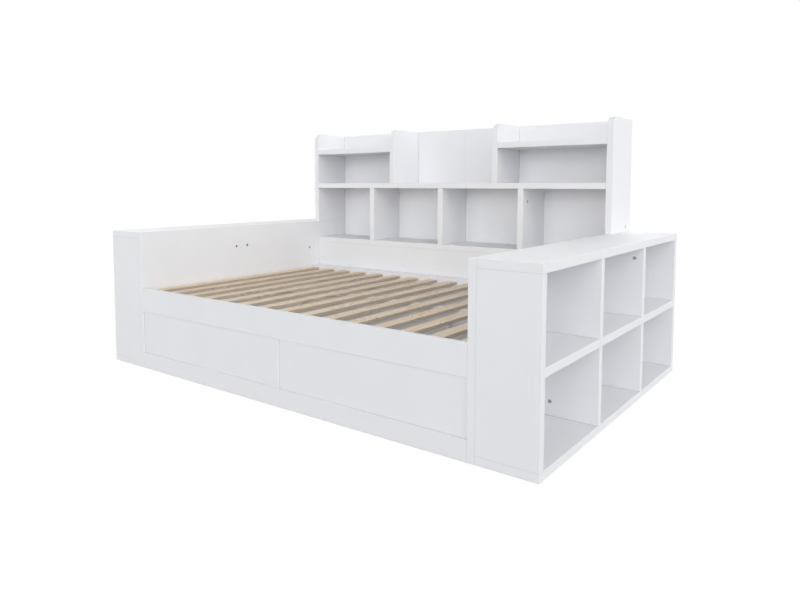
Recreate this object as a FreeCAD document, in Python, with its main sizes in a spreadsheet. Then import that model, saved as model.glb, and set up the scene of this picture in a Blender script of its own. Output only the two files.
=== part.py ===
"""Daybed with a low open bookcase at each end and a tall bookcase along the back.

Frame: X runs along the front, Y from the front to the back, Z up. The origin is on the
floor, under the middle of the bed. All sizes are in millimetres.
"""
import FreeCAD
import Part
import Sketcher

import os

# Driving sizes. Each one becomes a named cell of the sheet.
SIZES = {
    # Mattress space and the deck that carries it
    "mattress_length": 1905.0,
    "mattress_width": 1219.0,
    "end_play": 10.0,            # mattress to each end unit
    "side_play": 15.0,           # mattress to the front rail and to the back rail
    "slat_top": 404.0,
    "slat_width": 60.0,
    "slat_thickness": 15.0,
    "slat_wall_gap": 8.0,        # first slat to the end unit
    "slat_end_gap": 8.0,         # end of a slat to the front rail or the back rail
    "ledge_depth": 40.0,
    "ledge_height": 40.0,
    "back_rail_depth": 66.0,     # from the slats' space to the bookcase front
    "beam_width": 45.0,
    "beam_height": 60.0,
    "leg_side": 45.0,
    "leg_spacing": 960.0,
    # Board stock
    "board": 32.0,
    "back_panel": 16.0,
    "arris": 1.0,                # eased edge of every painted board
    "slat_arris": 1.0,
    # Low end units
    "unit_depth": 267.0,
    "unit_height": 706.0,
    "unit_shelf_underside": 338.0,
    "lap_play": 0.2,             # each side of a board in its halving joint
    # Front of the bed
    "rail_top": 418.0,
    "top_rail_height": 122.0,
    "bottom_rail_height": 81.0,
    "stile_width": 82.0,
    "rail_thickness": 18.0,
    "panel_recess": 8.0,
    "panel_thickness": 6.0,
    "groove_depth": 10.0,
    "groove_play": 0.3,          # each side of a panel in its groove
    # Tall bookcase at the back
    "bookcase_depth": 287.0,
    "bookcase_height": 1285.0,
    "bottom_board_top": 602.0,
    "middle_shelf_top": 961.0,
    "tray_depth": 103.0,         # top of the bookcase to the top of a roof board
    "divider_spacing": 507.0,
    "upright_offset": 351.0,     # middle of the bed to the middle of an upright
    "corner_radius": 50.0,
    "support_board": 32.0,
    # Fittings, and where they sit on their boards
    "fitting_play": 0.2,         # round every fitting in its bore
    "cam_diameter": 15.0,
    "cam_depth": 12.0,
    "cam_slot_width": 2.5,
    "cam_slot_depth": 1.5,
    "bolt_head_diameter": 13.0,
    "bolt_head_depth": 6.0,
    "bolt_shank_diameter": 6.0,
    "bolt_socket_across": 5.0,
    "bolt_socket_depth": 3.0,
    "divider_cam_inset": 55.0,   # behind the bookcase front
    "divider_cam_drop": 69.0,    # under the middle shelf
    "side_cam_inset": 68.0,      # in front of the bookcase back
    "side_cam_rise": 28.0,       # over the end unit's top
    "low_cam_inset": 195.0,      # behind the open side of an end unit
    "low_cam_rise": 58.0,        # over the base board
    "high_cam_inset": 39.0,
    "high_cam_drop": 46.0,       # under the top board
    "wall_cam_inset": 90.0,      # in front of the back board
    "wall_cam_height": 537.0,
    "first_bolt_inset": 625.0,   # behind the front of the bed
    "second_bolt_inset": 707.0,
    "bolt_height": 590.0,
}
SLAT_COUNT = 15
SIDES = ("left", "right")
SHEET_NAME = "Sizes"

doc = FreeCAD.newDocument("bookcase_daybed")
sheet = doc.addObject("Spreadsheet::Sheet", SHEET_NAME)
for row, (alias, value) in enumerate(SIZES.items(), start=1):
    sheet.set(f"A{row}", alias)
    sheet.set(f"B{row}", str(value))
    sheet.setAlias(f"B{row}", alias)
doc.recompute()


def size(alias):
    """Expression that reads one cell of the sheet."""
    return f"{SHEET_NAME}.{alias}"


# Derived sizes, written as expressions on the cells
BOARD = size("board")
INNER_LENGTH = f"({size('mattress_length')} + 2 * {size('end_play')})"
HALF_INNER = f"({INNER_LENGTH} / 2)"
DECK_WIDTH = f"({size('mattress_width')} + 2 * {size('side_play')})"
BED_DEPTH = f"({size('rail_thickness')} + {DECK_WIDTH} + {size('back_rail_depth')})"
TOTAL_DEPTH = f"({BED_DEPTH} + {size('bookcase_depth')})"
FRONT_Y = f"(-{TOTAL_DEPTH} / 2)"
BACK_Y = f"({TOTAL_DEPTH} / 2)"
CUBBIES_Y = f"({FRONT_Y} + {BOARD})"
RAIL_BACK_Y = f"({FRONT_Y} + {size('rail_thickness')})"
BOOKCASE_Y = f"({FRONT_Y} + {BED_DEPTH})"
BACK_PANEL_Y = f"({BACK_Y} - {size('back_panel')})"
SHELF_DEPTH = f"({size('bookcase_depth')} - {size('back_panel')})"
SLAT_BOTTOM = f"({size('slat_top')} - {size('slat_thickness')})"
CARCASE_DEPTH = f"({size('unit_depth')} - {BOARD})"
CARCASE_HEIGHT = f"({size('unit_height')} - 2 * {BOARD})"
CUBBY_LENGTH = f"(({TOTAL_DEPTH} - 4 * {BOARD}) / 3)"
LAP_WIDTH = f"({BOARD} + 2 * {size('lap_play')})"
MIDDLE_SHELF_BOTTOM = f"({size('middle_shelf_top')} - {BOARD})"
BOTTOM_BOARD_BOTTOM = f"({size('bottom_board_top')} - {BOARD})"
ROOF_BOTTOM = f"({size('bookcase_height')} - {size('tray_depth')} - {BOARD})"

CAM_BORE = f"({size('cam_diameter')} + 2 * {size('fitting_play')})"
HEAD_BORE = f"({size('bolt_head_diameter')} + 2 * {size('fitting_play')})"
SHANK_BORE = f"({size('bolt_shank_diameter')} + 2 * {size('fitting_play')})"
BOLT_INSETS = ("first_bolt_inset", "second_bolt_inset")

nodes = []


def origin_plane(body, role):
    """One of the three planes of a body's own origin."""
    return next(item for item in body.Origin.OriginFeatures if item.Role == role)


def add_sketch(body, name, role, offset=None):
    """Empty sketch on an origin plane, moved along the plane's normal by an expression."""
    sketch = body.newObject("Sketcher::SketchObject", name)
    sketch.AttachmentSupport = [(origin_plane(body, role), "")]
    sketch.MapMode = "FlatFace"
    if offset:
        sketch.setExpression("AttachmentOffset.Base.z", offset)
    return sketch


def bind(sketch, constraint, expression):
    """Add a dimension to a sketch and drive it by an expression."""
    index = sketch.addConstraint(constraint)
    sketch.setExpression(f"Constraints[{index}]", expression)


def draw_rectangle(sketch, width, height, left=None, bottom=None):
    """Rectangle whose sides and lower left corner are driven by expressions."""
    seed_left, seed_bottom, seed_side = 5.0, 5.0, 10.0
    right, top = seed_left + seed_side, seed_bottom + seed_side
    corners = [(seed_left, seed_bottom), (right, seed_bottom), (right, top), (seed_left, top)]
    points = [FreeCAD.Vector(x, y, 0) for x, y in corners]
    first = sketch.GeometryCount
    for index in range(4):
        sketch.addGeometry(Part.LineSegment(points[index], points[(index + 1) % 4]), False)
    for index in range(4):
        sketch.addConstraint(
            Sketcher.Constraint("Coincident", first + index, 2, first + (index + 1) % 4, 1))
    for side, direction in enumerate(("Horizontal", "Vertical", "Horizontal", "Vertical")):
        sketch.addConstraint(Sketcher.Constraint(direction, first + side))
    bind(sketch, Sketcher.Constraint("DistanceX", first, 1, first, 2, seed_side), width)
    bind(sketch, Sketcher.Constraint("DistanceY", first + 1, 1, first + 1, 2, seed_side), height)
    if left is None:
        sketch.addConstraint(Sketcher.Constraint("PointOnObject", first, 1, -2))
    else:
        bind(sketch, Sketcher.Constraint("DistanceX", -1, 1, first, 1, seed_left), left)
    if bottom is None:
        sketch.addConstraint(Sketcher.Constraint("PointOnObject", first, 1, -1))
    else:
        bind(sketch, Sketcher.Constraint("DistanceY", -1, 1, first, 1, seed_bottom), bottom)


def draw_circle(sketch, diameter, x, y):
    """Circle whose diameter and centre are driven by expressions."""
    seed = FreeCAD.Vector(20, 20, 0)
    index = sketch.addGeometry(Part.Circle(seed, FreeCAD.Vector(0, 0, 1), 5), False)
    bind(sketch, Sketcher.Constraint("Diameter", index, 10), diameter)
    bind(sketch, Sketcher.Constraint("DistanceX", -1, 1, index, 3, seed.x), x)
    bind(sketch, Sketcher.Constraint("DistanceY", -1, 1, index, 3, seed.y), y)


def place(item, at):
    """Drive an object's place by three expressions."""
    for axis, expression in zip("xyz", at):
        item.setExpression(f"Placement.Base.{axis}", expression)


def add_board(label, sizes, at, arris="arris", rounded=False):
    """Rectangular board with eased edges. Its lowest corner goes to the place given.

    A rounded board has its top front corner cut to the corner radius.
    """
    along, across, tall = sizes
    body = doc.addObject("PartDesign::Body", label)
    sketch = add_sketch(body, "Outline", "YZ_Plane")
    draw_rectangle(sketch, across, tall)
    pad = body.newObject("PartDesign::Pad", "Blank")
    pad.Profile = sketch
    pad.setExpression("Length", along)
    last = pad
    if rounded:
        doc.recompute()
        box = pad.Shape.BoundBox
        names = [f"Edge{i}" for i, edge in enumerate(pad.Shape.Edges, start=1)
                 if abs(edge.CenterOfMass.y - box.YMin) < 1e-6
                 and abs(edge.CenterOfMass.z - box.ZMax) < 1e-6]
        last = body.newObject("PartDesign::Fillet", "Corner")
        last.Base = (pad, names)
        last.setExpression("Radius", size("corner_radius"))
    chamfer = body.newObject("PartDesign::Chamfer", "Eased")
    chamfer.Base = (last, ["Edge1"])
    chamfer.UseAllEdges = True
    chamfer.setExpression("Size", size(arris))
    place(body, at)
    nodes.append(body)
    return body


def cut_through(body, name, role, rectangles):
    """Cut rectangles (width, height, left, bottom) right through a body, both ways."""
    sketch = add_sketch(body, f"{name}Sketch", role)
    for rectangle in rectangles:
        draw_rectangle(sketch, *rectangle)
    pocket = body.newObject("PartDesign::Pocket", name)
    pocket.Profile = sketch
    pocket.Type = 1
    pocket.Midplane = True


def bore(body, name, role, face, depth, circles, along_normal=False):
    """Blind bores (diameter, x, y) from a flat face, against or along the plane's normal."""
    sketch = add_sketch(body, f"{name}Sketch", role, face)
    for circle in circles:
        draw_circle(sketch, *circle)
    pocket = body.newObject("PartDesign::Pocket", name)
    pocket.Profile = sketch
    pocket.Type = 0
    pocket.setExpression("Length", depth)
    pocket.Reversed = along_normal


# ---------------------------------------------------------------- low end units

def add_end_unit(side):
    """Low bookcase of one end: six cubbies that open outwards, three long and two high."""
    right = side == "right"
    inner_x = HALF_INNER if right else f"(-{HALF_INNER} - {BOARD})"
    carcase_x = f"({HALF_INNER} + {BOARD})" if right else f"(-{HALF_INNER} - {size('unit_depth')})"
    long_board = (CARCASE_DEPTH, TOTAL_DEPTH, BOARD)
    end_board = (CARCASE_DEPTH, BOARD, CARCASE_HEIGHT)
    add_board(f"{side}_unit_base", long_board, (carcase_x, FRONT_Y, "0"))
    add_board(f"{side}_unit_top", long_board,
              (carcase_x, FRONT_Y, f"{size('unit_height')} - {BOARD}"))
    add_board(f"{side}_unit_front_board", end_board, (carcase_x, FRONT_Y, BOARD))
    add_board(f"{side}_unit_back_board", end_board, (carcase_x, f"{BACK_Y} - {BOARD}", BOARD))
    inner = add_board(f"{side}_unit_inner_board", (BOARD, TOTAL_DEPTH, size("unit_height")),
                      (inner_x, FRONT_Y, "0"))
    bore_inner_board(inner, right)
    shelf = add_board(f"{side}_unit_shelf",
                      (CARCASE_DEPTH, f"{TOTAL_DEPTH} - 2 * {BOARD}", BOARD),
                      (carcase_x, CUBBIES_Y, size("unit_shelf_underside")))
    dividers = []
    for index, name in enumerate(("front", "rear"), start=1):
        divider_y = f"({CUBBIES_Y} + {divider_start(index)})"
        dividers.append(add_board(f"{side}_unit_{name}_divider", end_board,
                                  (carcase_x, divider_y, BOARD)))
    cut_halving_joints(shelf, dividers, right)
    bore_dividers(dividers, right)


def divider_start(index):
    """Place of a cubby divider behind the front board of its unit."""
    return f"({index} * {CUBBY_LENGTH} + {index - 1} * {BOARD})"


def cut_halving_joints(shelf, dividers, right):
    """Notch the shelf from the bed side and the dividers from the open side."""
    half = f"({CARCASE_DEPTH} / 2)"
    play = size("lap_play")
    shelf_left = None if right else f"{half} - {play}"
    cut_through(shelf, "Laps", "XY_Plane",
                [(f"{half} + {play}", LAP_WIDTH, shelf_left, f"{divider_start(index)} - {play}")
                 for index in (1, 2)])
    divider_left = half if right else None
    lap_bottom = f"{size('unit_shelf_underside')} - {BOARD} - {play}"
    for divider in dividers:
        cut_through(divider, "Lap", "XZ_Plane", [(half, LAP_WIDTH, divider_left, lap_bottom)])


def from_open_side(inset, right):
    """Place across a carcase board of something inset from the open side."""
    return f"{CARCASE_DEPTH} - {inset}" if right else inset


def bore_dividers(dividers, right):
    """Pockets of the cam locks in the front faces of a unit's two dividers."""
    front, rear = dividers
    low_x = from_open_side(size("low_cam_inset"), right)
    high_x = from_open_side(size("high_cam_inset"), right)
    high_z = f"{CARCASE_HEIGHT} - {size('high_cam_drop')}"
    bore(front, "LowCam", "XZ_Plane", None, size("cam_depth"),
         [(CAM_BORE, low_x, size("low_cam_rise"))])
    bore(rear, "HighCam", "XZ_Plane", None, size("cam_depth"), [(CAM_BORE, high_x, high_z)])


def bore_inner_board(inner, right):
    """Pocket of the cam lock and bores of the two bolts, from the bed side."""
    face = None if right else BOARD
    cam_y = f"{BED_DEPTH} - {size('wall_cam_inset')}"
    bore(inner, "Cam", "YZ_Plane", face, size("cam_depth"),
         [(CAM_BORE, cam_y, size("wall_cam_height"))], right)
    places = [(size(inset), size("bolt_height")) for inset in BOLT_INSETS]
    bore(inner, "Heads", "YZ_Plane", face, size("bolt_head_depth"),
         [(HEAD_BORE, *at) for at in places], right)
    bore(inner, "Shanks", "YZ_Plane", face, BOARD, [(SHANK_BORE, *at) for at in places], right)


# ---------------------------------------------------------------- front of the bed

def add_front():
    """Top and bottom rails, a centre stile and two thin panels held in grooves."""
    rail_x = f"(-{HALF_INNER})"
    opening = f"({size('rail_top')} - {size('top_rail_height')} - {size('bottom_rail_height')})"
    groove_y = f"{size('panel_recess')} - {size('groove_play')}"
    groove_width = f"{size('panel_thickness')} + 2 * {size('groove_play')}"
    groove = size("groove_depth")
    thickness = size("rail_thickness")
    top = add_board("front_top_rail", (INNER_LENGTH, thickness, size("top_rail_height")),
                    (rail_x, FRONT_Y, f"{size('rail_top')} - {size('top_rail_height')}"))
    cut_through(top, "Groove", "YZ_Plane", [(groove_width, groove, groove_y, None)])
    bottom = add_board("front_bottom_rail", (INNER_LENGTH, thickness, size("bottom_rail_height")),
                       (rail_x, FRONT_Y, "0"))
    cut_through(bottom, "Groove", "YZ_Plane",
                [(groove_width, groove, groove_y, f"{size('bottom_rail_height')} - {groove}")])
    stile = add_board("front_centre_stile", (size("stile_width"), thickness, opening),
                      (f"-{size('stile_width')} / 2", FRONT_Y, size("bottom_rail_height")))
    cut_through(stile, "Grooves", "XY_Plane",
                [(groove, groove_width, None, groove_y),
                 (groove, groove_width, f"{size('stile_width')} - {groove}", groove_y)])
    panel = (f"{HALF_INNER} - {size('stile_width')} / 2 + {groove} - {size('groove_play')}",
             size("panel_thickness"),
             f"{opening} + 2 * {groove} - 2 * {size('groove_play')}")
    panel_y = f"{FRONT_Y} + {size('panel_recess')}"
    panel_z = f"{size('bottom_rail_height')} - {groove} + {size('groove_play')}"
    add_board("front_left_panel", panel, (rail_x, panel_y, panel_z))
    right_x = f"{size('stile_width')} / 2 - {groove} + {size('groove_play')}"
    add_board("front_right_panel", panel, (right_x, panel_y, panel_z))


# ---------------------------------------------------------------- deck

def add_deck():
    """Back board, the two slat ledges, the centre beam on its legs, and the slats.

    The back ledge is a rebated rail: it carries the slats in its rebate, fills the space
    behind their ends and is level with the front rail.
    """
    left_x = f"(-{HALF_INNER})"
    add_board("bed_back_board", (INNER_LENGTH, BOARD, BOTTOM_BOARD_BOTTOM),
              (left_x, BOOKCASE_Y, "0"))
    ledge_depth, ledge_height = size("ledge_depth"), size("ledge_height")
    ledge_z = f"({SLAT_BOTTOM} - {ledge_height})"
    add_board("front_slat_ledge", (INNER_LENGTH, ledge_depth, ledge_height),
              (left_x, RAIL_BACK_Y, ledge_z))
    back_depth = f"({ledge_depth} + {size('back_rail_depth')})"
    back_ledge = add_board("back_slat_ledge",
                           (INNER_LENGTH, back_depth, f"{size('rail_top')} - {ledge_z}"),
                           (left_x, f"{BOOKCASE_Y} - {back_depth}", ledge_z))
    cut_through(back_ledge, "Rebate", "YZ_Plane",
                [(ledge_depth, f"{size('rail_top')} - {SLAT_BOTTOM}", None, ledge_height)])
    middle_y = f"({RAIL_BACK_Y} + {DECK_WIDTH} / 2)"
    beam_z = f"({SLAT_BOTTOM} - {size('beam_height')})"
    add_board("centre_beam", (INNER_LENGTH, size("beam_width"), size("beam_height")),
              (left_x, f"{middle_y} - {size('beam_width')} / 2", beam_z))
    for side, sign in zip(SIDES, "-+"):
        leg_x = f"{sign}{size('leg_spacing')} / 2 - {size('leg_side')} / 2"
        add_board(f"centre_leg_{side}", (size("leg_side"), size("leg_side"), beam_z),
                  (leg_x, f"{middle_y} - {size('leg_side')} / 2", "0"))
    slat = (size("slat_width"), f"{DECK_WIDTH} - 2 * {size('slat_end_gap')}",
            size("slat_thickness"))
    pitch = (f"({INNER_LENGTH} - 2 * {size('slat_wall_gap')} - {size('slat_width')})"
             f" / {SLAT_COUNT - 1}")
    for index in range(SLAT_COUNT):
        slat_x = f"-{HALF_INNER} + {size('slat_wall_gap')} + {index} * {pitch}"
        add_board(f"slat_{index + 1:02d}", slat,
                  (slat_x, f"{RAIL_BACK_Y} + {size('slat_end_gap')}", SLAT_BOTTOM),
                  arris="slat_arris")


# ---------------------------------------------------------------- tall bookcase

def add_bookcase():
    """Bookcase between the end units: four bays below, two roofed bays and a tray above."""
    left_x = f"(-{HALF_INNER})"
    side_height = f"({size('bookcase_height')} - {size('unit_height')})"
    side_board = (BOARD, size("bookcase_depth"), side_height)
    for side in SIDES:
        right = side == "right"
        side_x = HALF_INNER if right else f"(-{HALF_INNER} - {BOARD})"
        body = add_board(f"bookcase_{side}_side", side_board,
                         (side_x, BOOKCASE_Y, size("unit_height")), rounded=True)
        cam = (CAM_BORE, f"{size('bookcase_depth')} - {size('side_cam_inset')}",
               size("side_cam_rise"))
        bore(body, "Cam", "YZ_Plane", BOARD if right else None, size("cam_depth"), [cam],
             not right)
    shelf = (INNER_LENGTH, SHELF_DEPTH, BOARD)
    add_board("bookcase_bottom_board", shelf, (left_x, BOOKCASE_Y, BOTTOM_BOARD_BOTTOM))
    add_board("bookcase_middle_shelf", shelf, (left_x, BOOKCASE_Y, MIDDLE_SHELF_BOTTOM))
    add_bookcase_dividers()
    add_bookcase_top()
    back = (HALF_INNER, size("back_panel"), f"{size('bookcase_height')} - {BOTTOM_BOARD_BOTTOM}")
    for side, back_x in zip(SIDES, (left_x, "0")):
        add_board(f"bookcase_{side}_back", back, (back_x, BACK_PANEL_Y, BOTTOM_BOARD_BOTTOM))


def add_bookcase_dividers():
    """Three dividers of the lower bays, and the support board under each of them."""
    height = f"({MIDDLE_SHELF_BOTTOM} - {size('bottom_board_top')})"
    support_y = f"({BOOKCASE_Y} + {BOARD})"
    for name, step in (("left", -1), ("centre", 0), ("right", 1)):
        middle_x = f"({step} * {size('divider_spacing')})"
        divider = add_board(f"bookcase_{name}_divider", (BOARD, SHELF_DEPTH, height),
                            (f"{middle_x} - {BOARD} / 2", BOOKCASE_Y, size("bottom_board_top")))
        if step:
            cam = (CAM_BORE, size("divider_cam_inset"), f"{height} - {size('divider_cam_drop')}")
            bore(divider, "Cam", "YZ_Plane", BOARD if step > 0 else None, size("cam_depth"),
                 [cam], step < 0)
        add_board(f"rear_support_{name}",
                  (size("support_board"), f"{BACK_PANEL_Y} - {support_y}", BOTTOM_BOARD_BOTTOM),
                  (f"{middle_x} - {size('support_board')} / 2", support_y, "0"))


def add_bookcase_top():
    """Uprights of the upper tier and the roof of each outer bay."""
    height = f"({size('bookcase_height')} - {size('middle_shelf_top')})"
    bay = f"({HALF_INNER} - {size('upright_offset')} - {BOARD} / 2)"
    for side, sign in zip(SIDES, "-+"):
        upright_x = f"{sign}{size('upright_offset')} - {BOARD} / 2"
        add_board(f"bookcase_{side}_upright", (BOARD, SHELF_DEPTH, height),
                  (upright_x, BOOKCASE_Y, size("middle_shelf_top")), rounded=True)
        roof_x = f"-{HALF_INNER}" if side == "left" else f"{HALF_INNER} - {bay}"
        add_board(f"bookcase_{side}_roof", (bay, SHELF_DEPTH, BOARD),
                  (roof_x, BOOKCASE_Y, ROOF_BOTTOM))


# ---------------------------------------------------------------- fittings

# Turns that lay a fitting, drawn outer face up, against a face that looks along an axis
FACING = {
    "+x": FreeCAD.Rotation(FreeCAD.Vector(0, 1, 0), 90),
    "-x": FreeCAD.Rotation(FreeCAD.Vector(0, 1, 0), -90),
    "-y": FreeCAD.Rotation(FreeCAD.Vector(1, 0, 0), 90),
}


def add_solid(kind, label, sizes, at=("0", "0", "0")):
    """Part primitive with its sizes and place driven by expressions."""
    item = doc.addObject(kind, label)
    for name, expression in sizes.items():
        item.setExpression(name, expression)
    place(item, at)
    return item


def add_cut(label, base, tool):
    """Base less tool."""
    cut = doc.addObject("Part::Cut", label)
    cut.Base = base
    cut.Tool = tool
    return cut


def add_cam(name):
    """Cam lock: a disc with a straight driver slot across its outer face."""
    depth, width = size("cam_depth"), size("cam_slot_width")
    diameter = size("cam_diameter")
    disc = add_solid("Part::Cylinder", f"{name}_disc",
                     {"Radius": f"{diameter} / 2", "Height": depth}, ("0", "0", f"-{depth}"))
    slot = add_solid("Part::Box", f"{name}_slot",
                     {"Length": width, "Width": diameter, "Height": size("cam_slot_depth")},
                     (f"-{width} / 2", f"-{diameter} / 2", f"-{size('cam_slot_depth')}"))
    return add_cut(name, disc, slot)


def add_bolt(name):
    """Furniture bolt: a low round head with a hexagon socket, and its shank."""
    head_depth, socket_depth = size("bolt_head_depth"), size("bolt_socket_depth")
    head = add_solid("Part::Cylinder", f"{name}_head",
                     {"Radius": f"{size('bolt_head_diameter')} / 2", "Height": head_depth},
                     ("0", "0", f"-{head_depth}"))
    shank = add_solid("Part::Cylinder", f"{name}_shank",
                      {"Radius": f"{size('bolt_shank_diameter')} / 2",
                       "Height": f"{BOARD} - {head_depth}"}, ("0", "0", f"-{BOARD}"))
    blank = doc.addObject("Part::Fuse", f"{name}_blank")
    blank.Base = head
    blank.Tool = shank
    socket = add_solid("Part::Prism", f"{name}_socket",
                       {"Circumradius": f"{size('bolt_socket_across')} / 2 / cos(30deg)",
                        "Height": socket_depth}, ("0", "0", f"-{socket_depth}"))
    socket.Polygon = 6
    return add_cut(name, blank, socket)


def add_group(label, maker, places):
    """One node of identical fittings. A place is a facing and three expressions."""
    members = []
    for index, (facing, at) in enumerate(places, start=1):
        member = maker(f"{label}_{index}")
        member.Placement = FreeCAD.Placement(FreeCAD.Vector(), FACING[facing])
        place(member, at)
        members.append(member)
    group = doc.addObject("Part::Compound", label)
    group.Links = members
    nodes.append(group)


def add_fittings():
    """Cam locks and bolts, flush in the bores of their boards."""
    cams, bolts = [], []
    unit_height = size("unit_height")
    for side, sign in zip(SIDES, "-+"):
        outward, inward = ("-x", "+x") if side == "left" else ("+x", "-x")
        divider_x = f"{sign}({size('divider_spacing')} + {BOARD} / 2)"
        cams.append((outward, (divider_x, f"{BOOKCASE_Y} + {size('divider_cam_inset')}",
                               f"{MIDDLE_SHELF_BOTTOM} - {size('divider_cam_drop')}")))
        cams.append((outward, (f"{sign}({HALF_INNER} + {BOARD})",
                               f"{BACK_Y} - {size('side_cam_inset')}",
                               f"{unit_height} + {size('side_cam_rise')}")))
        cams.append((inward, (f"{sign}{HALF_INNER}", f"{BOOKCASE_Y} - {size('wall_cam_inset')}",
                              size("wall_cam_height"))))
        open_x = f"{HALF_INNER} + {size('unit_depth')}"
        cams.append(("-y", (f"{sign}({open_x} - {size('low_cam_inset')})",
                            f"{CUBBIES_Y} + {divider_start(1)}",
                            f"{BOARD} + {size('low_cam_rise')}")))
        cams.append(("-y", (f"{sign}({open_x} - {size('high_cam_inset')})",
                            f"{CUBBIES_Y} + {divider_start(2)}",
                            f"{unit_height} - {BOARD} - {size('high_cam_drop')}")))
        bolts += [(inward, (f"{sign}{HALF_INNER}", f"{FRONT_Y} + {size(inset)}",
                            size("bolt_height"))) for inset in BOLT_INSETS]
    add_group("cam_locks", add_cam, cams)
    add_group("wall_bolts", add_bolt, bolts)


# ---------------------------------------------------------------- build and export

def check_and_export():
    """Stop on any failed object or bad shape, then write one file for each node."""
    doc.recompute()
    failed = [item.Label for item in doc.Objects
              if "Invalid" in item.State or "Error" in item.State]
    bad = [node.Label for node in nodes if node.Shape.isNull() or not node.Shape.isValid()]
    if failed or bad:
        raise RuntimeError(f"failed objects {failed}, bad shapes {bad}")
    os.makedirs("parts", exist_ok=True)
    for node in nodes:
        node.Shape.exportStep(os.path.join("parts", f"{node.Label}.step"))
    print(f"{len(nodes)} nodes written")


for unit_side in SIDES:
    add_end_unit(unit_side)
add_front()
add_deck()
add_bookcase()
add_fittings()
check_and_export()
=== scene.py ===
"""Looks of a daybed with bookcase ends and a bookcase back, in a pale studio.

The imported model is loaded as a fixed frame, in metres: X along the front, Y towards the back, Z up,
with the origin on the floor under the middle of the bed.
"""

import logging
import math
import random
from dataclasses import dataclass
from enum import Enum
from typing import Any, Iterable, Sequence

import bpy
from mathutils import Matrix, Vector


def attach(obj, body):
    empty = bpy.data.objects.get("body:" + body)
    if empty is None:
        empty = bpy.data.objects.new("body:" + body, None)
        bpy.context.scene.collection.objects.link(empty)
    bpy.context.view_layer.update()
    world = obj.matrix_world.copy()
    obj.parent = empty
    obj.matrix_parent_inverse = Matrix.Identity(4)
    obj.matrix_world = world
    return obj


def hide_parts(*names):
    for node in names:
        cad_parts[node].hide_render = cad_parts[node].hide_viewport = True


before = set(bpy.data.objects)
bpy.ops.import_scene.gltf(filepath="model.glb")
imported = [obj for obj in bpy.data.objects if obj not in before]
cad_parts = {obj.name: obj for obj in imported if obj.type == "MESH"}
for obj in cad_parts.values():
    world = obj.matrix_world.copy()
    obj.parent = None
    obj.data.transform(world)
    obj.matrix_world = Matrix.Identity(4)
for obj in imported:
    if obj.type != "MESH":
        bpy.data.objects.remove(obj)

MM = 0.001
MERGE_MM = 0.01             # corners of loose triangles nearer than this are one
FLAT_DEG = 1.0              # faces that meet flatter than this are one
SHARP_DEG = 30.0            # edges sharper than this are rounded
ROUND_STEPS = 2             # facets across each rounded edge
ROOT_BODY = "root"
DRAW_SEED = 11
LAMP_DISTANCE = 10.0        # metres; a sun lights the same from anywhere
log = logging.getLogger("daybed")


class Side(Enum):
    """The two ends of the bed, as seen from its front."""

    LEFT = "left"
    RIGHT = "right"


class Slot(Enum):
    """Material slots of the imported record."""

    LACQUER = "white_lacquer"
    PINE = "pine"
    ZINC = "zinc_fitting"


# ---------------------------------------------------------------- colours and nodes

def linear(hex_code: str) -> tuple[float, float, float, float]:
    """Turn an sRGB hex colour into linear light.

    Args:
        hex_code: six hex digits, red first.

    Returns:
        Linear red, green and blue, and an alpha of 1.
    """
    channels = [int(hex_code[i:i + 2], 16) / 255 for i in (0, 2, 4)]
    light = [c / 12.92 if c <= 0.04045 else ((c + 0.055) / 1.055) ** 2.4 for c in channels]
    return (light[0], light[1], light[2], 1.0)


def add_node(tree: bpy.types.NodeTree, kind: str, settings: dict[str, Any] | None = None,
             links: dict[Any, bpy.types.NodeSocket] | None = None) -> bpy.types.Node:
    """Add one shader node, set it up and wire it.

    Args:
        tree: node tree that gets the node.
        kind: type name of the node.
        settings: values by property name, or by input name or number.
        links: output sockets by the name or number of the input they feed.

    Returns:
        The new node.
    """
    node = tree.nodes.new(kind)
    for name, value in (settings or {}).items():
        if isinstance(name, str) and hasattr(node, name):
            setattr(node, name, value)
        else:
            node.inputs[name].default_value = value
    for name, source in (links or {}).items():
        tree.links.new(source, node.inputs[name])
    return node


def fill_ramp(node: bpy.types.Node, stops: Sequence[tuple[float, str]]) -> None:
    """Set the stops of a colour ramp.

    Args:
        node: colour ramp node.
        stops: place from 0 to 1 and sRGB hex colour of each stop, in order.
    """
    ramp = node.color_ramp
    while len(ramp.elements) < len(stops):
        ramp.elements.new(0.5)
    for element, (place, colour) in zip(ramp.elements, stops):
        element.position = place
        element.color = linear(colour)


def new_material(name: str) -> tuple[bpy.types.Material, bpy.types.NodeTree]:
    """Make an empty node material.

    Args:
        name: the material's name.

    Returns:
        The material and its node tree, which holds no node yet.
    """
    material = bpy.data.materials.new(name)
    material.use_nodes = True
    material.node_tree.nodes.clear()
    return material, material.node_tree


# ---------------------------------------------------------------- finishes

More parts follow.
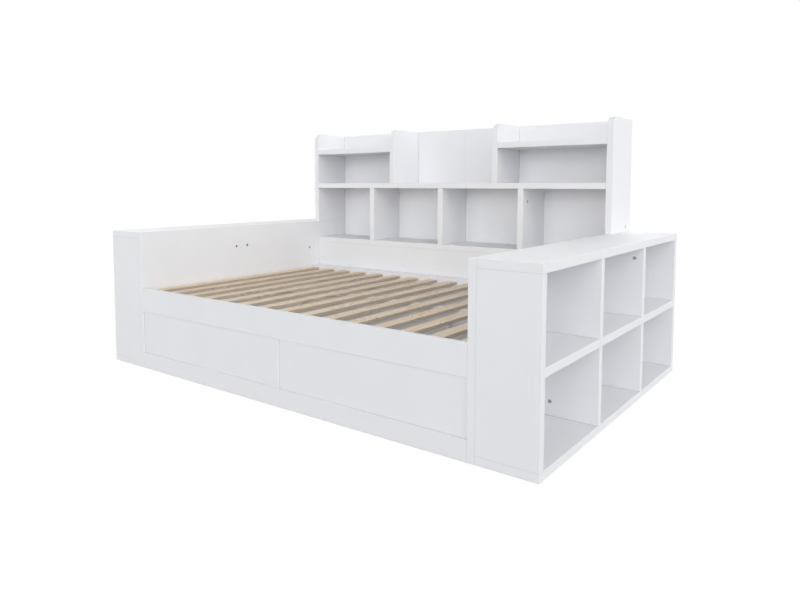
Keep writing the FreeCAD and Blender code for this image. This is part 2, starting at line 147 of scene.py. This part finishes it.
@dataclass(frozen=True)
class SprayedLacquer:
    """White lacquer sprayed on fibreboard and rubbed down.

    The eye sees an even, faintly cool white with a soft sheen and a very fine orange peel, and a
    hairline of painted shade: colour darkened where boards meet and in corners and recesses.
    """

    name: str = "sprayed_lacquer"
    colour: str = "ECEDF0"
    shade: str = "EAEBEE"
    roughness: float = 0.6
    ior: float = 1.45
    peel_mm: float = 2.5        # real peel is nearer 1 mm, drawn coarser so that it shows
    peel_depth_mm: float = 0.02
    peel_strength: float = 0.35
    mottle_mm: float = 180.0
    gloss_spread: float = 0.05
    painted_shade_mm: float = 3.0       # how far the painted shade of joints, corners and recesses reaches
    painted_shade_depth: float = 0.4    # share of the colour that this painted shade takes away

    def make(self) -> bpy.types.Material:
        """Build the lacquer's nodes and return the material."""
        material, tree = new_material(self.name)
        place = add_node(tree, "ShaderNodeTexCoord").outputs["Object"]
        mottle = add_node(tree, "ShaderNodeTexNoise",
                          {"Scale": 1 / (self.mottle_mm * MM), "Detail": 2.0}, {"Vector": place})
        colour = add_node(tree, "ShaderNodeValToRGB", {}, {"Fac": mottle.outputs["Fac"]})
        fill_ramp(colour, [(0.3, self.shade), (0.7, self.colour)])
        # painted shade: ambient occlusion darkens the colour in joints, corners and recesses
        crevice_shade = add_node(tree, "ShaderNodeAmbientOcclusion", {"Distance": self.painted_shade_mm * MM})
        shade = add_node(tree, "ShaderNodeMapRange", {"To Min": 1 - self.painted_shade_depth},
                         {"Value": crevice_shade.outputs["AO"]})
        shaded = add_node(tree, "ShaderNodeVectorMath", {"operation": "SCALE"},
                          {0: colour.outputs["Color"], "Scale": shade.outputs["Result"]})
        peel = add_node(tree, "ShaderNodeTexNoise",
                        {"Scale": 1 / (self.peel_mm * MM), "Detail": 1.0}, {"Vector": place})
        gloss = add_node(tree, "ShaderNodeMapRange",
                         {"To Min": self.roughness - self.gloss_spread,
                          "To Max": self.roughness + self.gloss_spread},
                         {"Value": mottle.outputs["Fac"]})
        bump = add_node(tree, "ShaderNodeBump",
                        {"Strength": self.peel_strength, "Distance": self.peel_depth_mm * MM},
                        {"Height": peel.outputs["Fac"]})
        shader = add_node(tree, "ShaderNodeBsdfPrincipled", {"IOR": self.ior},
                          {"Base Color": shaded.outputs["Vector"],
                           "Roughness": gloss.outputs["Result"],
                           "Normal": bump.outputs["Normal"]})
        add_node(tree, "ShaderNodeOutputMaterial", {}, {"Surface": shader.outputs["BSDF"]})
        return material


@dataclass(frozen=True)
class PlanedPine:
    """Planed, unfinished pine with its growth rings, fibre and knots.

    Rings run round a pith that lies along each plank, so the tops show long flames and the ends
    show arcs. Each mesh carries its own shift of the pattern in an attribute.
    """

    name: str = "planed_pine"
    shift: str = "plank_shift"
    early_wood: str = "E9D8C3"
    late_wood: str = "C9AE8E"
    knot_heart: str = "6A4A34"
    knot_rim: str = "A8825F"
    roughness: float = 0.62
    ior: float = 1.45
    ring_mm: float = 6.0        # growth of one year, drawn a little coarser than the real 3 to 4 mm
    wander_mm: float = 22.0     # how far the rings stray along the plank
    wander_across: float = 6.0  # bends of the rings in each metre, across and along the plank
    wander_along: float = 1.6
    ring_push: float = 2.2      # rings that a knot pushes aside
    fibre_mm: float = 1.2
    fibre_run: float = 0.03     # width of a fibre against its length
    fibre_dark: float = 0.86    # darkest and lightest fibre
    fibre_light: float = 1.06
    grain_strength: float = 0.3
    grain_depth_mm: float = 0.15
    painted_side_shade: float = 0.68     # painted shade: share of the top's colour that the long sides keep
    knot_cell_mm: float = 210.0
    knot_squeeze: float = 0.35  # width of a knot's cell against its length
    knot_edge: float = 0.05     # where a knot starts and is at its darkest, in shares of a cell
    knot_core: float = 0.015
    knot_reach: float = 0.45    # how far from a knot the rings feel it, in shares of a cell
    knot_full: float = 0.05     # where they feel it fully

    def make(self) -> bpy.types.Material:
        """Build the pine's nodes and return the material."""
        material, tree = new_material(self.name)
        place = add_node(tree, "ShaderNodeTexCoord").outputs["Object"]
        shift = add_node(tree, "ShaderNodeAttribute", {"attribute_name": self.shift})
        spot = add_node(tree, "ShaderNodeVectorMath", {"operation": "ADD"},
                        {0: place, 1: shift.outputs["Vector"]}).outputs["Vector"]
        knots, near_knot = self.knots(tree, spot)
        rings = self.rings(tree, spot, near_knot)
        colour = add_node(tree, "ShaderNodeValToRGB", {}, {"Fac": rings})
        fill_ramp(colour, [(0.0, self.early_wood), (0.55, self.early_wood), (0.92, self.late_wood),
                           (1.0, self.early_wood)])
        fibre = add_node(tree, "ShaderNodeMapping", {"Scale": (1.0, self.fibre_run, 1.0)},
                         {"Vector": spot})
        fibres = add_node(tree, "ShaderNodeTexNoise",
                          {"Scale": 1 / (self.fibre_mm * MM), "Detail": 3.0},
                          {"Vector": fibre.outputs["Vector"]})
        streak = add_node(tree, "ShaderNodeMapRange",
                          {"From Min": 0.3, "From Max": 0.7, "To Min": self.fibre_dark,
                           "To Max": self.fibre_light},
                          {"Value": fibres.outputs["Fac"]})
        streaked = add_node(tree, "ShaderNodeVectorMath", {"operation": "SCALE"},
                            {0: colour.outputs["Color"], "Scale": streak.outputs["Result"]})
        # painted shade on the long sides of each plank, by the way they face
        streaked = self.paint_side_shade(tree, streaked.outputs["Vector"])
        knot_colour = add_node(tree, "ShaderNodeValToRGB", {}, {"Fac": knots})
        fill_ramp(knot_colour, [(0.0, self.knot_rim), (0.6, self.knot_heart)])
        cover = add_node(tree, "ShaderNodeMapRange", {"From Max": 0.25}, {"Value": knots})
        mixed = add_node(tree, "ShaderNodeMix", {"data_type": "RGBA"},
                         {"Factor": cover.outputs["Result"], 6: streaked.outputs["Vector"],
                          7: knot_colour.outputs["Color"]})
        bump = add_node(tree, "ShaderNodeBump",
                        {"Strength": self.grain_strength, "Distance": self.grain_depth_mm * MM},
                        {"Height": fibres.outputs["Fac"]})
        shader = add_node(tree, "ShaderNodeBsdfPrincipled",
                          {"Roughness": self.roughness, "IOR": self.ior},
                          {"Base Color": mixed.outputs[2], "Normal": bump.outputs["Normal"]})
        add_node(tree, "ShaderNodeOutputMaterial", {}, {"Surface": shader.outputs["BSDF"]})
        return material

    def paint_side_shade(self, tree: bpy.types.NodeTree, colour: bpy.types.NodeSocket) -> bpy.types.Node:
        """Darken the long sides of the planks as painted shade, drawn as if less lit than the tops.

        Args:
            tree: the pine's node tree.
            colour: the planed wood's colour.

        Returns:
            The node whose vector is the colour with painted shade on its sides.
        """
        facing = add_node(tree, "ShaderNodeSeparateXYZ", {},
                          {0: add_node(tree, "ShaderNodeTexCoord").outputs["Normal"]})
        sideways = add_node(tree, "ShaderNodeMath", {"operation": "ABSOLUTE"},
                            {0: facing.outputs["X"]})
        kept = add_node(tree, "ShaderNodeMapRange", {"To Min": 1.0, "To Max": self.painted_side_shade},
                        {"Value": sideways.outputs["Value"]})
        return add_node(tree, "ShaderNodeVectorMath", {"operation": "SCALE"},
                        {0: colour, "Scale": kept.outputs["Result"]})

    def knots(self, tree: bpy.types.NodeTree, spot: bpy.types.NodeSocket
              ) -> tuple[bpy.types.NodeSocket, bpy.types.NodeSocket]:
        """Lay scattered knots, longer along the plank than across it.

        Args:
            tree: the pine's node tree.
            spot: coordinates in the wood, in metres.

        Returns:
            How deep a point lies in a knot, from 0 at its rim to 1, and how near one it is.
        """
        cell = self.knot_cell_mm * MM
        squeezed = add_node(tree, "ShaderNodeMapping",
                            {"Scale": (1 / (self.knot_squeeze * cell), 1 / cell,
                                       1 / (self.knot_squeeze * cell))},
                            {"Vector": spot})
        cells = add_node(tree, "ShaderNodeTexVoronoi", {"Scale": 1.0},
                         {"Vector": squeezed.outputs["Vector"]})
        depth = add_node(tree, "ShaderNodeMapRange",
                         {"From Min": self.knot_edge, "From Max": self.knot_core},
                         {"Value": cells.outputs["Distance"]})
        near = add_node(tree, "ShaderNodeMapRange",
                        {"From Min": self.knot_reach, "From Max": self.knot_full,
                         "interpolation_type": "SMOOTHSTEP"},
                        {"Value": cells.outputs["Distance"]})
        return depth.outputs["Result"], near.outputs["Result"]

    def rings(self, tree: bpy.types.NodeTree, spot: bpy.types.NodeSocket,
              near_knot: bpy.types.NodeSocket) -> bpy.types.NodeSocket:
        """Grow rings round the plank's pith, pushed aside by the knots.

        Args:
            tree: the pine's node tree.
            spot: coordinates in the wood, in metres.
            near_knot: how near a knot a point is, from 0 to 1.

        Returns:
            Place within a year's growth, from 0 to 1.
        """
        bends = (self.wander_across, self.wander_along, self.wander_across)
        along = add_node(tree, "ShaderNodeMapping", {"Scale": bends}, {"Vector": spot})
        wander = add_node(tree, "ShaderNodeTexNoise", {"Scale": 1.0, "Detail": 2.0},
                          {"Vector": along.outputs["Vector"]})
        flat = add_node(tree, "ShaderNodeVectorMath", {"operation": "MULTIPLY", 1: (1, 0, 1)},
                        {0: spot})
        radius = add_node(tree, "ShaderNodeVectorMath", {"operation": "LENGTH"},
                          {0: flat.outputs["Vector"]}).outputs["Value"]
        strayed = add_node(tree, "ShaderNodeMath",
                           {"operation": "MULTIPLY_ADD", 1: 2 * self.wander_mm * MM},
                           {0: wander.outputs["Fac"], 2: radius})
        pushed = add_node(tree, "ShaderNodeMath",
                          {"operation": "MULTIPLY_ADD", 1: self.ring_push * self.ring_mm * MM},
                          {0: near_knot, 2: strayed.outputs["Value"]})
        years = add_node(tree, "ShaderNodeMath", {"operation": "DIVIDE", 1: self.ring_mm * MM},
                         {0: pushed.outputs["Value"]})
        return add_node(tree, "ShaderNodeMath", {"operation": "FRACT"},
                        {0: years.outputs["Value"]}).outputs["Value"]


@dataclass(frozen=True)
class FittingMetal:
    """Dull grey metal with a fine grain: tumbled cast zinc, or steel when it is set so."""

    name: str = "cast_zinc"
    colour: str = "A4A5A6"
    roughness: float = 0.4
    grain_mm: float = 0.8
    gloss_spread: float = 0.1

    def make(self) -> bpy.types.Material:
        """Build the metal's nodes and return the material."""
        material, tree = new_material(self.name)
        place = add_node(tree, "ShaderNodeTexCoord").outputs["Object"]
        grain = add_node(tree, "ShaderNodeTexNoise", {"Scale": 1 / (self.grain_mm * MM)},
                         {"Vector": place})
        gloss = add_node(tree, "ShaderNodeMapRange",
                         {"To Min": self.roughness - self.gloss_spread,
                          "To Max": self.roughness + self.gloss_spread},
                         {"Value": grain.outputs["Fac"]})
        shader = add_node(tree, "ShaderNodeBsdfPrincipled",
                          {"Base Color": linear(self.colour), "Metallic": 1.0},
                          {"Roughness": gloss.outputs["Result"]})
        add_node(tree, "ShaderNodeOutputMaterial", {}, {"Surface": shader.outputs["BSDF"]})
        return material


# ---------------------------------------------------------------- workshop

class Workshop:
    """Bench operations on meshes, each on one selected object."""

    @staticmethod
    def select(*pieces: bpy.types.Object) -> None:
        """Select only these objects and make the first of them active."""
        if bpy.context.mode != "OBJECT":
            bpy.ops.object.mode_set(mode="OBJECT")
        bpy.ops.object.select_all(action="DESELECT")
        for piece in pieces:
            piece.select_set(True)
        bpy.context.view_layer.objects.active = pieces[0]

    @staticmethod
    def copy_node(node: str, name: str) -> bpy.types.Object:
        """Copy a CAD node's mesh into a new object, with its loose triangles merged.

        Args:
            node: the CAD node's name.
            name: the new object's name.

        Returns:
            The new object, with flat faces as single polygons.
        """
        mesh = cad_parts[node].data.copy()
        mesh.materials.clear()
        piece = bpy.data.objects.new(name, mesh)
        mesh.name = name
        bpy.context.scene.collection.objects.link(piece)
        Workshop.select(piece)
        bpy.ops.object.mode_set(mode="EDIT")
        bpy.ops.mesh.select_mode(type="VERT")
        bpy.ops.mesh.select_all(action="SELECT")
        bpy.ops.mesh.remove_doubles(threshold=MERGE_MM * MM)
        bpy.ops.mesh.dissolve_limited(angle_limit=math.radians(FLAT_DEG))
        bpy.ops.object.mode_set(mode="OBJECT")
        return piece

    @staticmethod
    def round_edges(piece: bpy.types.Object, radius: float) -> None:
        """Round every sharp edge of a piece.

        Args:
            piece: mesh object at the origin.
            radius: width of the rounding, in metres.
        """
        Workshop.select(piece)
        bpy.ops.object.mode_set(mode="EDIT")
        bpy.ops.mesh.select_mode(type="EDGE")
        bpy.ops.mesh.select_all(action="DESELECT")
        bpy.ops.mesh.edges_select_sharp(sharpness=math.radians(SHARP_DEG))
        bpy.ops.mesh.bevel(offset=radius, segments=ROUND_STEPS, affect="EDGES",
                           clamp_overlap=True)
        bpy.ops.object.mode_set(mode="OBJECT")

    @staticmethod
    def smooth(piece: bpy.types.Object, angle: float = 50.0) -> None:
        """Shade a piece smooth across edges flatter than an angle, with its large faces kept flat.

        Args:
            piece: mesh object at the origin.
            angle: steepest smooth edge, in degrees.
        """
        Workshop.select(piece)
        bpy.ops.object.shade_smooth_by_angle(angle=math.radians(angle))
        bpy.ops.object.modifier_add(type="WEIGHTED_NORMAL")
        weighted = piece.modifiers[-1]
        weighted.weight = 100
        weighted.keep_sharp = True
        bpy.ops.object.modifier_apply(modifier=weighted.name)

    @staticmethod
    def hand_over(piece: bpy.types.Object, material: bpy.types.Material, slot: Slot,
                  nodes: Iterable[str] = ()) -> bpy.types.Object:
        """Dress a finished piece and set it on the part's one body.

        Args:
            piece: the finished object.
            material: its finish.
            slot: the record's slot that it stands in; not used.
            nodes: CAD nodes that it stands for.

        Returns:
            The same object.
        """
        piece.data.materials.clear()
        piece.data.materials.append(material)
        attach(piece, ROOT_BODY)
        for node in nodes:
            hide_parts(node)
        log.info("%s: %d faces", piece.name, len(piece.data.polygons))
        return piece


# ---------------------------------------------------------------- sub-assemblies

@dataclass
class PaintedBoards:
    """Lacquered boards of one sub-assembly, with softly rounded arrises."""

    nodes: Sequence[str]
    lacquer: bpy.types.Material
    soften_mm: float = 0.6      # rounding on both edges of each eased arris

    def build(self) -> None:
        """Model and dress every board of the sub-assembly."""
        for node in self.nodes:
            board = Workshop.copy_node(node, f"{node}_lacquered")
            Workshop.round_edges(board, self.soften_mm * MM)
            Workshop.smooth(board)
            Workshop.hand_over(board, self.lacquer, Slot.LACQUER, [node])


def node_names(*starts: str) -> list[str]:
    """Names of the CAD nodes that start with any of these words, in order."""
    return [name for name in sorted(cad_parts) if name.startswith(starts)]


class EndUnit(PaintedBoards):
    """Low bookcase of one end of the bed."""

    @classmethod
    def at(cls, side: Side, lacquer: bpy.types.Material) -> "EndUnit":
        """Gather the boards of the unit at one side."""
        return cls(node_names(f"{side.value}_unit_"), lacquer)


@dataclass
class Slats:
    """Pine slats and front ledge that carry the mattress."""

    pine: bpy.types.Material
    shift: str
    soften_mm: float = 0.8
    pith_low_mm: float = 15.0    # nearest and farthest that a plank's pith lies under its top
    pith_high_mm: float = 70.0
    pith_aside_mm: float = 40.0  # farthest that it lies to either side
    stem_m: float = 30.0         # length of stem that the planks are cut from

    def build(self) -> None:
        """Model and dress every piece of pine, each cut from its own part of the tree."""
        draw = random.Random(DRAW_SEED)
        for node in node_names("slat_", "front_slat"):
            plank = Workshop.copy_node(node, f"{node}_planed")
            Workshop.round_edges(plank, self.soften_mm * MM)
            Workshop.smooth(plank)
            self.mark(plank, draw)
            Workshop.hand_over(plank, self.pine, Slot.PINE, [node])

    def mark(self, plank: bpy.types.Object, draw: random.Random) -> None:
        """Store where in the tree a plank was cut.

        Args:
            plank: the finished plank.
            draw: source of the random place.
        """
        corners = list(plank.bound_box)
        low, high = Vector(corners[0]), Vector(corners[6])
        middle = (low + high) / 2
        depth = draw.uniform(self.pith_low_mm, self.pith_high_mm) * MM
        aside = draw.uniform(-self.pith_aside_mm, self.pith_aside_mm) * MM
        along = draw.uniform(0, self.stem_m)
        value = (aside - middle.x, along, depth - high.z)
        attribute = plank.data.attributes.new(self.shift, "FLOAT_VECTOR", "POINT")
        attribute.data.foreach_set("vector", value * len(plank.data.vertices))


@dataclass
class Fittings:
    """Cam locks and bolts of the boards, as one piece for each node."""

    zinc: bpy.types.Material
    steel: bpy.types.Material
    soften_mm: float = 0.25

    def build(self) -> None:
        """Dress the cam locks with zinc, and the bolts with steel drawn darker as painted shade of
        their sockets.
        """
        for node, metal in (("cam_locks", self.zinc), ("wall_bolts", self.steel)):
            piece = Workshop.copy_node(node, f"{node}_zinc")
            Workshop.round_edges(piece, self.soften_mm * MM)
            Workshop.smooth(piece)
            Workshop.hand_over(piece, metal, Slot.ZINC, [node])


# ---------------------------------------------------------------- studio

@dataclass(frozen=True)
class Lamp:
    """One wide soft lamp, so far off that it lights the whole bed evenly."""

    name: str
    turn: float         # degrees from straight in front of the bed towards its right end
    height: float       # degrees above the horizon
    spread: float       # its width as the bed sees it, in degrees
    strength: float

    def hang(self) -> None:
        """Make the lamp and turn it to face the bed."""
        turn, height = math.radians(self.turn), math.radians(self.height)
        at = Vector((math.sin(turn) * math.cos(height), -math.cos(turn) * math.cos(height),
                     math.sin(height)))
        light = bpy.data.lights.new(self.name, "SUN")
        light.energy = self.strength
        light.angle = math.radians(self.spread)
        holder = bpy.data.objects.new(self.name, light)
        holder.location = LAMP_DISTANCE * at
        holder.rotation_mode = "QUATERNION"
        holder.rotation_quaternion = (-at).to_track_quat("-Z", "Y")
        bpy.context.scene.collection.objects.link(holder)


@dataclass
class Studio:
    """White studio: a floor, white surroundings, wide soft lamps all round and the camera."""

    camera_at: tuple[float, float, float] = (2.0704, -2.7248, 0.9515)
    camera_turn: float = 37.726      # degrees from straight ahead towards the left
    camera_tilt: float = -4.225      # degrees above the horizon
    lens_mm: float = 29.63
    shift: tuple[float, float] = (0.0251, -0.0835)
    sky_strength: float = 0.03
    floor_side: float = 60.0
    floor_bounce: str = "A0A0A0"     # how much of the lamps' light the floor gives back
    floor_lift: float = 0.18         # light that the floor gives off by itself, also under the bed
    floor_glow: float = 0.86         # what the eye sees of it even in shadow, where 1 is white
    floor_matte: str = "7C7C7C"      # what light adds to that
    lamps: tuple[Lamp, ...] = (
        Lamp("front", 0, 3, 40, 1.20),
        Lamp("front_right", 40, 12, 70, 1.57),
        Lamp("front_left", -45, 15, 70, 0.12),
        Lamp("right", 90, 6, 50, 1.10),
        Lamp("right_high", 90, 45, 70, 0.71),
        Lamp("left", -90, 15, 70, 1.78),
        Lamp("back", 180, 15, 70, 1.25),
        Lamp("back_high", 180, 45, 70, 0.52),
    )

    def build(self) -> None:
        """Make everything that stands round the bed."""
        self.floor()
        self.surroundings()
        for lamp in self.lamps:
            lamp.hang()
        self.camera()
        bpy.context.scene.view_settings.view_transform = "Standard"

    def seen_by_eye(self, tree: bpy.types.NodeTree) -> bpy.types.NodeSocket:
        """Add nodes that give 1 for camera, glossy and transmission rays.

        Args:
            tree: node tree of the floor or of the world.

        Returns:
            The socket with that value.
        """
        path = add_node(tree, "ShaderNodeLightPath")
        direct = add_node(tree, "ShaderNodeMath", {"operation": "MAXIMUM"},
                          {0: path.outputs["Is Camera Ray"], 1: path.outputs["Is Glossy Ray"]})
        both = add_node(tree, "ShaderNodeMath", {"operation": "MAXIMUM"},
                        {0: direct.outputs["Value"], 1: path.outputs["Is Transmission Ray"]})
        return both.outputs["Value"]

    def floor(self) -> None:
        """Lay a pale floor that keeps a faint shadow of the bed."""
        bpy.ops.mesh.primitive_plane_add(size=self.floor_side, location=(0, 0, 0))
        ground = bpy.context.active_object
        ground.name = "studio_floor"
        material, tree = new_material("pale_floor")
        matte_bounce = add_node(tree, "ShaderNodeBsdfDiffuse",
                                {"Color": linear(self.floor_bounce)})
        lift = add_node(tree, "ShaderNodeEmission",
                        {"Color": linear("FFFFFF"), "Strength": self.floor_lift})
        bounce = add_node(tree, "ShaderNodeAddShader", {},
                          {0: lift.outputs["Emission"], 1: matte_bounce.outputs["BSDF"]})
        glow = add_node(tree, "ShaderNodeEmission",
                        {"Color": linear("FFFFFF"), "Strength": self.floor_glow})
        matte = add_node(tree, "ShaderNodeBsdfDiffuse", {"Color": linear(self.floor_matte)})
        shown = add_node(tree, "ShaderNodeAddShader", {},
                         {0: glow.outputs["Emission"], 1: matte.outputs["BSDF"]})
        mix = add_node(tree, "ShaderNodeMixShader", {},
                       {0: self.seen_by_eye(tree), 1: bounce.outputs["Shader"],
                        2: shown.outputs["Shader"]})
        add_node(tree, "ShaderNodeOutputMaterial", {}, {"Surface": mix.outputs["Shader"]})
        ground.data.materials.append(material)

    def surroundings(self) -> None:
        """Give the bed a little light from all round, and show plain white behind it."""
        world = bpy.data.worlds.new("white_room")
        bpy.context.scene.world = world
        world.use_nodes = True
        tree = world.node_tree
        tree.nodes.clear()
        light = add_node(tree, "ShaderNodeBackground",
                         {"Color": linear("FFFFFF"), "Strength": self.sky_strength})
        shown = add_node(tree, "ShaderNodeBackground", {"Color": linear("FFFFFF"), "Strength": 1.0})
        mix = add_node(tree, "ShaderNodeMixShader", {},
                       {0: self.seen_by_eye(tree), 1: light.outputs["Background"],
                        2: shown.outputs["Background"]})
        add_node(tree, "ShaderNodeOutputWorld", {}, {"Surface": mix.outputs["Shader"]})

    def camera(self) -> None:
        """Set the camera where the photographer's stood."""
        lens = bpy.data.cameras.new("studio_camera")
        lens.lens = self.lens_mm
        lens.shift_x, lens.shift_y = self.shift
        holder = bpy.data.objects.new("studio_camera", lens)
        holder.location = self.camera_at
        holder.rotation_euler = (math.radians(90 + self.camera_tilt), 0,
                                 math.radians(self.camera_turn))
        bpy.context.scene.collection.objects.link(holder)
        bpy.context.scene.camera = holder


def main() -> None:
    """Build the bed's looks and the studio round it."""
    logging.basicConfig(level=logging.INFO, format="%(name)s: %(message)s")
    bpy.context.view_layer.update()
    lacquer = SprayedLacquer().make()
    pine = PlanedPine()
    for side in Side:
        EndUnit.at(side, lacquer).build()
    PaintedBoards(node_names("bookcase_", "rear_support_"), lacquer).build()
    PaintedBoards([name for name in node_names("front_", "bed_back", "back_slat", "centre_")
                   if name != "front_slat_ledge"], lacquer).build()
    Slats(pine.make(), pine.shift).build()
    # painted shade: the bolts' steel is drawn darker than the zinc to show the shade in their sockets
    bolt_steel_painted_dark = FittingMetal(name="steel_with_painted_shade", colour="606062")
    Fittings(FittingMetal().make(), bolt_steel_painted_dark.make()).build()
    Studio().build()


if __name__ == "__main__":
    main()
